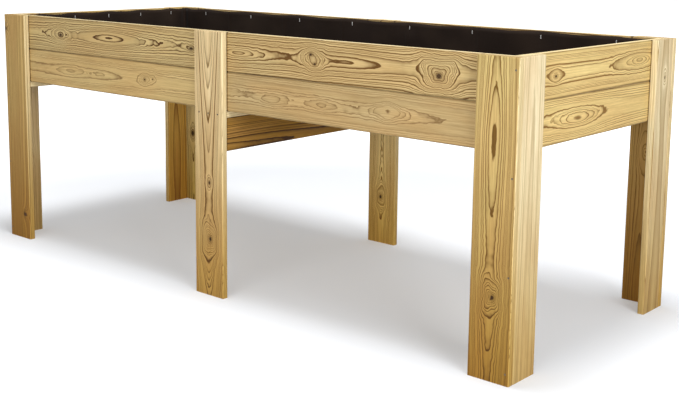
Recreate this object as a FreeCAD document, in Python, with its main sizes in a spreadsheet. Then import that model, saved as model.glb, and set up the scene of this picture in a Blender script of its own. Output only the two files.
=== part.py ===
import FreeCAD, Part
import math
import os
import re
import sys

import Sketcher

# Raised planter on six legs: a long box of two plank rows, standing on four corner legs
# made of two boards each and two single middle legs, with bearers, floor slats and a liner.
# Millimetres, +Z up, X along the planter, front at -Y, origin on the ground under the middle.

os.makedirs("parts", exist_ok=True)
doc = FreeCAD.newDocument("RaisedPlanter")
sheet = doc.addObject("Spreadsheet::Sheet", "Sizes")

sizes = {
    # overall
    "planterLength": 2120,
    "planterWidth": 850,
    "planterHeight": 800,
    # legs
    "legThick": 20,
    "legFaceWidth": 120,
    "legSideWidth": 100,
    "middleLegWidth": 120,
    "legRounding": 3.5,
    # planks of the box, in two rows
    "plankDeep": 116,
    "plankThick": 20,
    "plankRounding": 2.5,
    "plankJoint": 1,
    # bearers across the underside, and the stiffener below the middle one
    "bearerThick": 20,
    "middleBearerWidth": 120,
    "endBearerWidth": 45,
    "stiffenerThick": 20,
    "stiffenerDeep": 100,
    # floor slats
    "slatCount": 7,
    "slatThick": 18,
    "slatGap": 10,
    "slatEndGap": 3,
    "slatRounding": 2,
    # liner, a tray of cloth
    "linerThick": 1.5,
    "linerClear": 0.3,
    "linerDrop": 2.5,
    "linerCorner": 6,
    # nails of the legs
    "nailLength": 50,
    "nailRadius": 1.4,
    "nailHeadRadius": 2.6,
    "nailHeadThick": 1,
    "legNailEdge": 10,
    "legNailEnd": 30,
    "legNailPitch": 241.5,
    "legNailsBelow": 3,
    "middleNailPitch": 40,
    # nails of the slats
    "slatNailLength": 35,
    "slatNailOffset": 30,
    "slatNailInset": 25,
    # countersunk screws
    "plankScrewLength": 35,
    "bearerScrewLength": 50,
    "screwRadius": 2,
    "screwHeadRadius": 4,
    "screwInset": 25,
    "screwOffset": 30,
    "middleScrewOffset": 20,
    "stiffenerScrewPitch": 200,
    "stiffenerScrews": 4,
    # staples of the liner
    "stapleCrown": 12,
    "stapleWire": 1.5,
    "stapleLeg": 8,
    "stapleDrop": 20,
    "longWallStaples": 8,
    "endWallStaples": 5,
    # room around and past the tip of each fastener
    "holeClear": 0.1,
    "tipRoom": 1,
}

for rowNumber, (alias, amount) in enumerate(sizes.items(), start=1):
    sheet.set("A%d" % rowNumber, alias)
    sheet.set("B%d" % rowNumber, str(amount))
    sheet.setAlias("B%d" % rowNumber, alias)
doc.recompute()

aliasWords = re.compile(r"\b(" + "|".join(sizes) + r")\b")
planeRoles = {"x": "YZ_Plane", "y": "XZ_Plane", "z": "XY_Plane"}
planeNormals = {"x": 1, "y": -1, "z": 1}
planeAxes = {"x": "yz", "y": "xz", "z": "xy"}


def formula(text):
    """An expression in sheet words, as the document reads it."""
    return aliasWords.sub(r"Sizes.\1", text)


def amountOf(text):
    """What such an expression comes to, in millimetres."""
    return float(sheet.evalExpression(formula(text)))


def countOf(alias):
    return int(round(amountOf(alias)))


# Places that several pieces share, in sheet words.
halfLength = "planterLength / 2"
halfWidth = "planterWidth / 2"
boxHalfLength = "(planterLength / 2 - legThick)"
boxHalfWidth = "(planterWidth / 2 - legThick)"
insideHalfLength = "(planterLength / 2 - legThick - plankThick)"
insideHalfWidth = "(planterWidth / 2 - legThick - plankThick)"
boxBottom = "(planterHeight - 2 * plankDeep)"
bearerBottom = "(planterHeight - 2 * plankDeep - bearerThick)"
floorTop = "(planterHeight - 2 * plankDeep + slatThick)"
slatWidth = "((2 * %s - (slatCount + 1) * slatGap) / slatCount)" % insideHalfWidth


class Piece:
    """A body with its low corner and its size along each axis, all in sheet words."""

    def __init__(self, body, corner, size):
        self.body = body
        self.corner = dict(zip("xyz", corner))
        self.size = dict(zip("xyz", size))

    def low(self, axis):
        return self.corner[axis]

    def high(self, axis):
        return "(%s) + (%s)" % (self.corner[axis], self.size[axis])


def originPlane(body, axis):
    for feature in body.Origin.OriginFeatures:
        if feature.Role == planeRoles[axis]:
            return feature


def sketchOn(body, axis, name, lift=None):
    """A sketch square to axis, on the body's own origin plane or lifted off it along axis."""
    sketch = body.newObject("Sketcher::SketchObject", name)
    sketch.AttachmentSupport = (originPlane(body, axis), [""])
    sketch.MapMode = "FlatFace"
    if lift is not None:
        sign = "" if planeNormals[axis] > 0 else "-"
        sketch.setExpression("AttachmentOffset.Base.z", formula("%s(%s)" % (sign, lift)))
    return sketch


def boundDistance(sketch, kind, ends, text):
    index = sketch.addConstraint(Sketcher.Constraint(kind, *ends, amountOf(text)))
    sketch.setExpression("Constraints[%d]" % index, formula(text))


def roundedRectangle(sketch, start, size, rounding):
    """A rectangle with round corners, from start and of size (two expressions each)."""
    x0, y0, wide, tall, bend = (amountOf(text) for text in (*start, *size, rounding))
    x1, y1 = x0 + wide, y0 + tall
    vector = FreeCAD.Vector
    sides = (
        ((x0 + bend, y0), (x1 - bend, y0)),
        ((x1, y0 + bend), (x1, y1 - bend)),
        ((x1 - bend, y1), (x0 + bend, y1)),
        ((x0, y1 - bend), (x0, y0 + bend)),
    )
    centres = ((x1 - bend, y0 + bend), (x1 - bend, y1 - bend), (x0 + bend, y1 - bend), (x0 + bend, y0 + bend))
    quarter = math.pi / 2
    lines = []
    arcs = []
    for turn, (first, last) in enumerate(sides):
        segment = Part.LineSegment(vector(*first, 0), vector(*last, 0))
        lines.append(sketch.addGeometry(segment, False))
        circle = Part.Circle(vector(*centres[turn], 0), vector(0, 0, 1), bend)
        arc = Part.ArcOfCircle(circle, (turn - 1) * quarter, turn * quarter)
        arcs.append(sketch.addGeometry(arc, False))
    for turn in range(4):
        sketch.addConstraint(Sketcher.Constraint("Tangent", lines[turn], 2, arcs[turn], 1))
        sketch.addConstraint(Sketcher.Constraint("Tangent", arcs[turn], 2, lines[(turn + 1) % 4], 1))
        direction = "Vertical" if turn % 2 else "Horizontal"
        if turn < 2:
            sketch.addConstraint(Sketcher.Constraint(direction, lines[turn]))
            sketch.addConstraint(Sketcher.Constraint(direction, lines[turn + 2]))
        if turn:
            sketch.addConstraint(Sketcher.Constraint("Equal", arcs[0], arcs[turn]))
    boundDistance(sketch, "Radius", (arcs[0],), rounding)
    boundDistance(sketch, "DistanceX", (-1, 1, lines[3], 1), start[0])
    boundDistance(sketch, "DistanceY", (-1, 1, lines[0], 1), start[1])
    boundDistance(sketch, "DistanceX", (lines[3], 1, lines[1], 1), size[0])
    boundDistance(sketch, "DistanceY", (lines[0], 1, lines[2], 1), size[1])


def board(label, corner, size, grain, rounding):
    """A straight board: its rounded section, square to the grain, padded to its length."""
    body = doc.addObject("PartDesign::Body", label)
    body.Label = label
    across = planeAxes[grain]
    piece = Piece(body, corner, size)
    section = sketchOn(body, grain, "section")
    roundedRectangle(section, ("0", "0"), [piece.size[axis] for axis in across], rounding)
    length = body.newObject("PartDesign::Pad", "length")
    length.Profile = section
    length.Reversed = planeNormals[grain] < 0
    length.setExpression("Length", formula(piece.size[grain]))
    for axis in "xyz":
        body.setExpression("Placement.Base." + axis, formula(piece.corner[axis]))
    section.Visibility = False
    return piece


def drill(piece, axis, side, spots, radius, depth=None, head=None):
    """Round holes along axis from the low or high side. spots are pairs of places in the
    frame of the planter. No depth means right through. head is ("Counterbore", radius, depth)
    or ("Countersink", radius)."""
    lift = piece.size[axis] if side == "high" else None
    marks = sketchOn(piece.body, axis, "marks", lift)
    across = planeAxes[axis]
    for spot in spots:
        local = ["(%s) - (%s)" % (place, piece.corner[a]) for place, a in zip(spot, across)]
        centre = FreeCAD.Vector(amountOf(local[0]), amountOf(local[1]), 0)
        circle = Part.Circle(centre, FreeCAD.Vector(0, 0, 1), amountOf(radius))
        index = marks.addGeometry(circle, False)
        boundDistance(marks, "DistanceX", (-1, 1, index, 3), local[0])
        boundDistance(marks, "DistanceY", (-1, 1, index, 3), local[1])
    hole = piece.body.newObject("PartDesign::Hole", "holes")
    hole.Profile = marks
    doc.recompute()
    hole.DrillPoint = "Flat"
    hole.Reversed = (side == "low") == (planeNormals[axis] > 0)
    if depth is None:
        hole.DepthType = "ThroughAll"
    else:
        hole.DepthType = "Dimension"
        hole.setExpression("Depth", formula(depth))
    hole.setExpression("Diameter", formula("2 * (%s)" % radius))
    if head:
        hole.HoleCutType = head[0]
        hole.setExpression("HoleCutDiameter", formula("2 * (%s)" % head[1]))
    if head and head[0] == "Counterbore":
        hole.setExpression("HoleCutDepth", formula(head[2]))
    if head and head[0] == "Countersink":
        hole.HoleCutCountersinkAngle = 90
    marks.Visibility = False
    drilled.append((piece, axis, side, hole))


def pointedShank(radius, start, length):
    """A round shank from start down to its blunt point, which is as long as it is wide."""
    pointStart = FreeCAD.Vector(0, 0, length - 2 * radius)
    shank = Part.makeCylinder(radius, pointStart.z - start, FreeCAD.Vector(0, 0, start))
    return [shank, Part.makeCone(radius, radius / 5, 2 * radius, pointStart)]


def nailShape(length):
    """A nail along +Z with the outside of its head at the origin."""
    radius = amountOf("nailRadius")
    headThick = amountOf("nailHeadThick")
    head = Part.makeCylinder(amountOf("nailHeadRadius"), headThick)
    return head.fuse(pointedShank(radius, 0, length)).removeSplitter()


def screwShape(length):
    """A countersunk screw along +Z with the outside of its head at the origin."""
    radius = amountOf("screwRadius")
    headRadius = amountOf("screwHeadRadius")
    sink = headRadius - radius
    head = Part.makeCone(headRadius, radius, sink)
    return head.fuse(pointedShank(radius, sink, length)).removeSplitter()


def stapleShape():
    """A staple along +Z: its crown lies along Y with the outside of it at the origin."""
    wire = amountOf("stapleWire")
    crown = amountOf("stapleCrown")
    leg = amountOf("stapleLeg")
    bar = Part.makeBox(wire, crown, wire, FreeCAD.Vector(-wire / 2, -crown / 2, 0))
    lower = Part.makeBox(wire, wire, leg, FreeCAD.Vector(-wire / 2, -crown / 2, wire))
    upper = Part.makeBox(wire, wire, leg, FreeCAD.Vector(-wire / 2, crown / 2 - wire, wire))
    return bar.fuse([lower, upper]).removeSplitter()


drilled = []
fastenerGroups = {}


def addFasteners(group, shape, axis, way, start, spots):
    """Copies of shape pointing way (1 or -1) along axis from the plane start, at each spot."""
    direction = FreeCAD.Vector(*(way if a == axis else 0 for a in "xyz"))
    across = planeAxes[axis]
    for spot in spots:
        place = {axis: amountOf(start), across[0]: amountOf(spot[0]), across[1]: amountOf(spot[1])}
        copy = shape.copy()
        turn = FreeCAD.Rotation(FreeCAD.Vector(0, 0, 1), direction)
        if axis == "x":  # keeps the crown of a staple upright on the end walls
            turn = FreeCAD.Rotation(FreeCAD.Vector(0, way, 0), FreeCAD.Vector(0, 0, 1), direction, "ZXY")
        copy.Placement = FreeCAD.Placement(FreeCAD.Vector(place["x"], place["y"], place["z"]), turn)
        fastenerGroups.setdefault(group, []).append(copy)


def fasten(group, kind, length, axis, way, spots, outer, inner):
    """Drives nails or screws along axis: through the outer piece, flush, into the inner one."""
    lowToHigh = way > 0
    near = "low" if lowToHigh else "high"
    start = outer.low(axis) if lowToHigh else outer.high(axis)
    if lowToHigh:
        depth = "(%s) + %s + tipRoom - (%s)" % (start, length, inner.low(axis))
    else:
        depth = "(%s) - ((%s) - %s - tipRoom)" % (inner.high(axis), start, length)
    if kind == "nail":
        radius = "nailRadius + holeClear"
        head = ("Counterbore", "nailHeadRadius + holeClear", "nailHeadThick")
        shape = nailShape(amountOf(length))
    else:
        radius = "screwRadius + holeClear"
        head = ("Countersink", "screwHeadRadius + holeClear")
        shape = screwShape(amountOf(length))
    drill(outer, axis, near, spots, radius, None, head)
    drill(inner, axis, near, spots, radius, depth)
    addFasteners(group, shape, axis, way, start, spots)


pieces = {}
endsAlong = {"left": -1, "right": 1}
facesAcross = {"front": -1, "rear": 1}


def fromMiddle(sign, distance, width="0"):
    """The low side of something of width whose outer side is that distance from the middle."""
    return "-(%s)" % distance if sign < 0 else "(%s) - (%s)" % (distance, width)


# Corner legs: a face board on the long side covers the edge of the side board.
for face, faceSign in facesAcross.items():
    for end, endSign in endsAlong.items():
        name = "%s_%s_leg" % (face, end)
        pieces[name + "_face_board"] = board(
            name + "_face_board",
            (
                fromMiddle(endSign, halfLength, "legFaceWidth"),
                fromMiddle(faceSign, halfWidth, "legThick"),
                "0",
            ),
            ("legFaceWidth", "legThick", "planterHeight"),
            "z",
            "legRounding",
        )
        pieces[name + "_side_board"] = board(
            name + "_side_board",
            (
                fromMiddle(endSign, halfLength, "legThick"),
                fromMiddle(faceSign, boxHalfWidth, "legSideWidth"),
                "0",
            ),
            ("legThick", "legSideWidth", "planterHeight"),
            "z",
            "legRounding",
        )

# Middle legs: one board each, on the long sides.
for face, faceSign in facesAcross.items():
    name = face + "_middle_leg"
    pieces[name] = board(
        name,
        ("-middleLegWidth / 2", fromMiddle(faceSign, halfWidth, "legThick"), "0"),
        ("middleLegWidth", "legThick", "planterHeight"),
        "z",
        "legRounding",
    )

# Planks: two rows, upper and lower. The long sides have one plank for each bay.
rows = {"upper": "planterHeight - plankDeep", "lower": boxBottom}
for row, rowBottom in rows.items():
    for face, faceSign in facesAcross.items():
        for end, endSign in endsAlong.items():
            name = "%s_%s_%s_plank" % (face, end, row)
            bayLength = "(%s - plankJoint / 2)" % boxHalfLength
            pieces[name] = board(
                name,
                (
                    fromMiddle(endSign, boxHalfLength, bayLength),
                    fromMiddle(faceSign, boxHalfWidth, "plankThick"),
                    rowBottom,
                ),
                (bayLength, "plankThick", "plankDeep"),
                "x",
                "plankRounding",
            )
    for end, endSign in endsAlong.items():
        name = "%s_end_%s_plank" % (end, row)
        pieces[name] = board(
            name,
            (fromMiddle(endSign, boxHalfLength, "plankThick"), "-" + insideHalfWidth, rowBottom),
            ("plankThick", "2 * " + insideHalfWidth, "plankDeep"),
            "y",
            "plankRounding",
        )

# Bearers lie flat under the box, from the front legs to the rear ones.
bearerLength = "2 * " + boxHalfWidth
pieces["middle_bearer"] = board(
    "middle_bearer",
    ("-middleBearerWidth / 2", "-" + boxHalfWidth, bearerBottom),
    ("middleBearerWidth", bearerLength, "bearerThick"),
    "y",
    "legRounding",
)
for end, endSign in endsAlong.items():
    name = end + "_end_bearer"
    insideLeg = "(planterLength / 2 - legFaceWidth + endBearerWidth)"
    pieces[name] = board(
        name,
        (fromMiddle(endSign, insideLeg, "endBearerWidth"), "-" + boxHalfWidth, bearerBottom),
        ("endBearerWidth", bearerLength, "bearerThick"),
        "y",
        "slatRounding",
    )

# The stiffener stands on edge under the right-hand side of the middle bearer.
stiffenerLow = "middleBearerWidth / 2 - stiffenerThick"
pieces["bearer_stiffener"] = board(
    "bearer_stiffener",
    (stiffenerLow, "-" + boxHalfWidth, bearerBottom + " - stiffenerDeep"),
    ("stiffenerThick", bearerLength, "stiffenerDeep"),
    "y",
    "legRounding",
)

# Floor slats run lengthwise in each bay and rest on the bearers.
slatLength = "(%s - 1.5 * slatEndGap)" % insideHalfLength
for end, endSign in endsAlong.items():
    for number in range(countOf("slatCount")):
        name = "%s_floor_slat_%d" % (end, number + 1)
        slatLow = "-%s + slatGap + %d * (%s + slatGap)" % (insideHalfWidth, number, slatWidth)
        pieces[name] = board(
            name,
            (fromMiddle(endSign, insideHalfLength + " - slatEndGap", slatLength), slatLow, boxBottom),
            (slatLength, slatWidth, "slatThick"),
            "x",
            "slatRounding",
        )

# Liner: an open tray of cloth inside the planks, on the slats.
linerHalfLength = "(%s - linerClear)" % insideHalfLength
linerHalfWidth = "(%s - linerClear)" % insideHalfWidth
linerBottom = "(%s + linerClear)" % floorTop
linerTall = "(planterHeight - linerDrop - %s)" % linerBottom
liner = board(
    "liner",
    ("-" + linerHalfLength, "-" + linerHalfWidth, linerBottom),
    ("2 * " + linerHalfLength, "2 * " + linerHalfWidth, linerTall),
    "z",
    "linerCorner",
)
pieces["liner"] = liner
hollow = sketchOn(liner.body, "z", "hollow", linerTall)
roundedRectangle(
    hollow,
    ("linerThick", "linerThick"),
    ["%s - 2 * linerThick" % liner.size[axis] for axis in "xy"],
    "linerCorner - linerThick",
)
tray = liner.body.newObject("PartDesign::Pocket", "tray")
tray.Profile = hollow
tray.setExpression("Length", formula(linerTall + " - linerThick"))
hollow.Visibility = False
doc.recompute()

# Leg nails go through each face board into the edge of its side board.
for face, faceSign in facesAcross.items():
    for end, endSign in endsAlong.items():
        name = "%s_%s_leg" % (face, end)
        across = "%d * (%s - legNailEdge)" % (endSign, halfLength)
        heights = ["legNailEnd + %d * legNailPitch" % step for step in range(countOf("legNailsBelow"))]
        heights.append("planterHeight - legNailEnd")
        fasten(
            "corner_leg_nails",
            "nail",
            "nailLength",
            "y",
            -faceSign,
            [(across, height) for height in heights],
            pieces[name + "_face_board"],
            pieces[name + "_side_board"],
        )

# Three nails in a row go through each middle leg into the end of the middle bearer.
for face, faceSign in facesAcross.items():
    fasten(
        "middle_leg_nails",
        "nail",
        "nailLength",
        "y",
        -faceSign,
        [("%d * middleNailPitch" % step, bearerBottom + " + bearerThick / 2") for step in (-1, 0, 1)],
        pieces[face + "_middle_leg"],
        pieces["middle_bearer"],
    )

# Plank screws are driven from inside the box, two at each plank end, into the legs.
for row, rowBottom in rows.items():
    pair = ["%s + plankDeep / 2 %s screwOffset" % (rowBottom, sign) for sign in "-+"]
    for face, faceSign in facesAcross.items():
        for end, endSign in endsAlong.items():
            plank = pieces["%s_%s_%s_plank" % (face, end, row)]
            atCorner = "%d * (%s - screwInset)" % (endSign, insideHalfLength)
            atMiddle = "%d * (screwInset + plankJoint / 2)" % endSign
            for across, leg in (
                (atCorner, pieces["%s_%s_leg_face_board" % (face, end)]),
                (atMiddle, pieces[face + "_middle_leg"]),
            ):
                fasten(
                    "%s_plank_screws" % face,
                    "screw",
                    "plankScrewLength",
                    "y",
                    faceSign,
                    [(across, height) for height in pair],
                    plank,
                    leg,
                )
    for end, endSign in endsAlong.items():
        for face, faceSign in facesAcross.items():
            across = "%d * (%s - screwInset)" % (faceSign, insideHalfWidth)
            fasten(
                "end_plank_screws",
                "screw",
                "plankScrewLength",
                "x",
                endSign,
                [(across, height) for height in pair],
                pieces["%s_end_%s_plank" % (end, row)],
                pieces["%s_%s_leg_side_board" % (face, end)],
            )

# Bearer screws come up from below into the lower edges of the long planks.
for end, endSign in endsAlong.items():
    endBearerMiddle = "%d * (planterLength / 2 - legFaceWidth + endBearerWidth / 2)" % endSign
    for face, faceSign in facesAcross.items():
        plank = pieces["%s_%s_lower_plank" % (face, end)]
        inPlank = "%d * (%s - plankThick / 2)" % (faceSign, boxHalfWidth)
        for across, bearer in (
            (endBearerMiddle, pieces[end + "_end_bearer"]),
            ("%d * middleScrewOffset" % endSign, pieces["middle_bearer"]),
        ):
            fasten(
                "bearer_screws",
                "screw",
                "bearerScrewLength",
                "z",
                1,
                [(across, inPlank)],
                bearer,
                plank,
            )

# Stiffener screws go down through the middle bearer into the stiffener's edge.
screwCount = countOf("stiffenerScrews")
screwRow = ["(%s) * stiffenerScrewPitch" % (step - (screwCount - 1) / 2) for step in range(screwCount)]
fasten(
    "stiffener_screws",
    "screw",
    "bearerScrewLength",
    "z",
    -1,
    [("middleBearerWidth / 2 - stiffenerThick / 2", place) for place in screwRow],
    pieces["middle_bearer"],
    pieces["bearer_stiffener"],
)

# Slat nails: two at each end of each slat, down into the bearers.
for end, endSign in endsAlong.items():
    endBearerMiddle = "%d * (planterLength / 2 - legFaceWidth + endBearerWidth / 2)" % endSign
    for number in range(countOf("slatCount")):
        slat = pieces["%s_floor_slat_%d" % (end, number + 1)]
        middle = "%s + %s / 2" % (slat.corner["y"], slatWidth)
        pair = ["%s %s slatNailOffset" % (middle, sign) for sign in "-+"]
        for across, bearer in (
            (endBearerMiddle, pieces[end + "_end_bearer"]),
            ("%d * slatNailInset" % endSign, pieces["middle_bearer"]),
        ):
            fasten(
                "slat_nails",
                "nail",
                "slatNailLength",
                "z",
                -1,
                [(across, place) for place in pair],
                slat,
                bearer,
            )

# Staples hold the liner to the upper planks, a little below the rim.
stapleHeight = "planterHeight - stapleDrop"
stapleHole = "stapleWire * sqrt(0.5) + holeClear"
stapleBite = "stapleLeg - linerThick - linerClear + tipRoom"
legOffset = "(stapleCrown / 2 - stapleWire / 2)"


def stapleWall(axis, way, count, wallHalf, plankAt):
    """A row of staples on the liner's wall on the low (-1) or high (1) side along axis. plankAt
    tells which of them go into each plank."""
    span = "(2 * %s)" % wallHalf
    middles = ["-%s + %s * %s" % (wallHalf, (step + 0.5) / count, span) for step in range(count)]
    side = "high" if way > 0 else "low"
    for plank, wanted in plankAt.items():
        spots = []
        for step in wanted:
            spots += [(middles[step], "%s %s %s" % (stapleHeight, sign, legOffset)) for sign in "-+"]
        drill(plank, axis, "low" if way > 0 else "high", spots, stapleHole, stapleBite)
        drill(liner, axis, side, spots, stapleHole, "2 * linerThick")
    start = "%d * (%s - linerThick - stapleWire)" % (way, linerHalfWidth if axis == "y" else linerHalfLength)
    addFasteners("liner_staples", stapleShape(), axis, way, start, [(m, stapleHeight) for m in middles])


longCount = countOf("longWallStaples")
endCount = countOf("endWallStaples")
for face, faceSign in facesAcross.items():
    planksHere = {
        pieces[face + "_left_upper_plank"]: range(longCount // 2),
        pieces[face + "_right_upper_plank"]: range(longCount // 2, longCount),
    }
    stapleWall("y", faceSign, longCount, insideHalfLength, planksHere)
for end, endSign in endsAlong.items():
    planksHere = {pieces[end + "_end_upper_plank"]: range(endCount)}
    stapleWall("x", endSign, endCount, insideHalfWidth, planksHere)

# Fasteners of one kind share a node, as separate solids.
groups = []
for label, shapes in fastenerGroups.items():
    group = doc.addObject("Part::Feature", label)
    group.Label = label
    group.Shape = Part.makeCompound(shapes)
    group.Placement = FreeCAD.Placement()
    groups.append(group)

doc.recompute()
faults = [o.Name for o in doc.Objects if "Invalid" in o.State or "Error" in o.State]
nodes = [piece.body for piece in pieces.values()] + groups
for node in nodes:
    if node.Shape.isNull() or not node.Shape.isValid():
        faults.append(node.Label)
for piece in pieces.values():
    if len(piece.body.Shape.Solids) != 1:
        faults.append(piece.body.Label)
for piece, axis, side, hole in drilled:
    if hole.Shape.Volume >= hole.BaseFeature.Shape.Volume - 1:
        faults.append("%s: a hole along %s from the %s side cut nothing" % (piece.body.Label, axis, side))
if faults:
    print("failed:", faults)
    sys.exit(1)
for node in nodes:
    node.Shape.exportStep("parts/%s.step" % node.Label)
print("wrote", len(nodes), "nodes")
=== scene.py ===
import math
import bmesh
import bpy
from mathutils import Matrix, Vector, noise


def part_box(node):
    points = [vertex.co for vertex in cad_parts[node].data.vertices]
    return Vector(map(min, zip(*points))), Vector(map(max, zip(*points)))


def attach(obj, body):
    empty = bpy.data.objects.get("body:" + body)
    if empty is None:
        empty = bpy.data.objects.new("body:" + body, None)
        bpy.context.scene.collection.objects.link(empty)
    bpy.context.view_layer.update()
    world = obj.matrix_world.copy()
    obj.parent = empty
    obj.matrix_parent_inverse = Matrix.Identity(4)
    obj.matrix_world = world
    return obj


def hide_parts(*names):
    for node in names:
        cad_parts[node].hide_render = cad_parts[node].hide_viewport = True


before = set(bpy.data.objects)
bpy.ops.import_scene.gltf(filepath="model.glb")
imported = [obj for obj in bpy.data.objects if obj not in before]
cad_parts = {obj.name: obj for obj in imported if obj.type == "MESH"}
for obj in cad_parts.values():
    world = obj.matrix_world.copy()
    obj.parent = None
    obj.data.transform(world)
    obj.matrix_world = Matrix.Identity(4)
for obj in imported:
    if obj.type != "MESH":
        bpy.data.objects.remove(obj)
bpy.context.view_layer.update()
print("frame loaded:", len(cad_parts), "pieces")


def tint(red, green, blue):  # 0-255 screen values to the linear ones that sockets take
    def straight(value):
        value /= 255
        return value / 12.92 if value <= 0.04045 else ((value + 0.055) / 1.055) ** 2.4
    return (straight(red), straight(green), straight(blue), 1.0)


def feedNode(tree, node, feed):
    for socket, value in feed.items():
        if isinstance(value, bpy.types.NodeSocket):
            tree.links.new(value, node.inputs[socket])
        else:
            node.inputs[socket].default_value = value
    return node.outputs


def addNode(tree, kind, feed=None, **settings):
    node = tree.nodes.new("ShaderNode" + kind)
    for name, value in settings.items():
        setattr(node, name, value)
    return feedNode(tree, node, feed or {})


def addMath(tree, operation, *values, clamp=False):
    return addNode(tree, "Math", dict(enumerate(values)), operation=operation, use_clamp=clamp)[0]


def addRamp(tree, value, low, high, toLow=0.0, toHigh=1.0):  # smooth step between two values
    feed = {"Value": value, "From Min": low, "From Max": high, "To Min": toLow, "To Max": toHigh}
    return addNode(tree, "MapRange", feed, interpolation_type="SMOOTHSTEP")[0]


def addMix(tree, share, first, second, blend="MIX"):  # colours
    node = tree.nodes.new("ShaderNodeMix")
    node.data_type = "RGBA"
    node.blend_type = blend
    for socket, value in ((0, share), (6, first), (7, second)):
        if isinstance(value, bpy.types.NodeSocket):
            tree.links.new(value, node.inputs[socket])
        else:
            node.inputs[socket].default_value = value
    return node.outputs[2]


def addNoise(tree, point, scale=1.0, detail=2.0, roughness=0.5, distortion=0.0):
    feed = {"Vector": point, "Scale": scale, "Detail": detail, "Roughness": roughness, "Distortion": distortion}
    return addNode(tree, "TexNoise", feed, noise_dimensions="3D")[0]


def newGroup(name, inputs, outputs):
    group = bpy.data.node_groups.new(name, "ShaderNodeTree")
    for label, value in inputs.items():
        size = len(value) if hasattr(value, "__len__") else 1
        kind = {1: "NodeSocketFloat", 3: "NodeSocketVector", 4: "NodeSocketColor"}[size]
        socket = group.interface.new_socket(name=label, in_out="INPUT", socket_type=kind)
        socket.default_value = value
    for label, kind in outputs.items():
        group.interface.new_socket(name=label, in_out="OUTPUT", socket_type="NodeSocket" + kind)
    start = group.nodes.new("NodeGroupInput").outputs
    end = group.nodes.new("NodeGroupOutput")
    return group, start, end


def placeGroup(tree, group, feed):
    node = tree.nodes.new("ShaderNodeGroup")
    node.node_tree = group
    return feedNode(tree, node, feed)


def addSway(tree, noiseValue, width):  # noise as a value between minus and plus the width
    return addMath(tree, "MULTIPLY", addMath(tree, "SUBTRACT", noiseValue, 0.5), addMath(tree, "MULTIPLY", width, 2.0))


def newMaterial(name):
    material = bpy.data.materials.new(name)
    material.use_nodes = True
    material.node_tree.nodes.clear()
    return material, material.node_tree


def stretchPoint(tree, point, along, across, through, seed):
    # squeezes board millimetres so that noise runs long along the grain, with the seed as a jump sideways
    x, y, z = addNode(tree, "SeparateXYZ", {0: point})
    seedJump = addMath(tree, "MULTIPLY", seed, 7.31)
    feed = {0: addMath(tree, "DIVIDE", x, along),
            1: addMath(tree, "ADD", addMath(tree, "DIVIDE", y, across), seedJump),
            2: addMath(tree, "DIVIDE", z, through)}
    return addNode(tree, "CombineXYZ", feed)[0]


knotLook = dict(wobbleScale=0.045, wobble=0.4, falloff=1.5, coreInner=0.55, coreOuter=1.3, haloInner=0.8, haloOuter=3.4)


def buildKnotGroup():
    # bends the growth rings round one place on the board, and darkens its middle
    inputs = {"Board": (0, 0, 0), "Along": 0.0, "Across": 0.0, "Reach": 15.0, "Stretch": 1.6,
              "Bulge": -12.0, "Core": 4.0, "Lobes": 0.0, "Swell": 0.0, "Dark": 0.0, "Halo": 0.0}
    group, given, end = newGroup("knot", inputs, {"Swell": "Float", "Dark": "Float", "Halo": "Float"})
    x, y, _ = addNode(group, "SeparateXYZ", {0: given["Board"]})
    wobble = addNoise(group, given["Board"], scale=knotLook["wobbleScale"], detail=1.0)
    wobble = addMath(group, "MULTIPLY_ADD", wobble, knotLook["wobble"], 1 - knotLook["wobble"] / 2)
    alongGap = addMath(group, "SUBTRACT", x, given["Along"])
    acrossGap = addMath(group, "SUBTRACT", y, given["Across"])
    longGap = addMath(group, "DIVIDE", alongGap, given["Stretch"])
    longSquare = addMath(group, "MULTIPLY", longGap, longGap)
    acrossSquare = addMath(group, "MULTIPLY", acrossGap, acrossGap)
    square = addMath(group, "MAXIMUM", addMath(group, "ADD", longSquare, acrossSquare), 0.01)
    gap = addMath(group, "SQRT", square)
    slant = addMath(group, "DIVIDE", addMath(group, "MULTIPLY", longSquare, acrossSquare),
                    addMath(group, "MULTIPLY", square, square))  # 0 along the grain and across it, 0.25 between
    gap = addMath(group, "MULTIPLY", gap, wobble)
    lobe = addMath(group, "MULTIPLY_ADD", addMath(group, "MULTIPLY", slant, -4.0), given["Lobes"], 1.0)
    share = addMath(group, "DIVIDE", addMath(group, "MULTIPLY", gap, lobe), given["Reach"])
    share = addMath(group, "POWER", share, knotLook["falloff"])
    fall = addMath(group, "EXPONENT", addMath(group, "MULTIPLY", share, -1.0))
    swell = addMath(group, "MULTIPLY_ADD", fall, given["Bulge"], given["Swell"])
    coreGap = addMath(group, "DIVIDE", gap, addMath(group, "MAXIMUM", given["Core"], 0.01))
    hasCore = addMath(group, "GREATER_THAN", given["Core"], 0.1)
    dark = addRamp(group, coreGap, knotLook["coreInner"], knotLook["coreOuter"], 1.0, 0.0)
    dark = addMath(group, "MULTIPLY", dark, hasCore)
    halo = addRamp(group, coreGap, knotLook["haloInner"], knotLook["haloOuter"], 1.0, 0.0)
    halo = addMath(group, "MULTIPLY", halo, hasCore)
    feedNode(group, end, {"Swell": swell, "Dark": addMath(group, "MAXIMUM", dark, given["Dark"]),
                          "Halo": addMath(group, "MAXIMUM", halo, given["Halo"])})
    return group


ringLook = dict(driftWidth=95.0, rippleLength=26.0, rippleWidth=9.0, unevenScale=0.45, uneven=1.7,
                thinPower=4.5, thinGain=1.5, broadPower=1.6, sharpEnd=0.9, faintest=0.55, spread=0.9)


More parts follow.
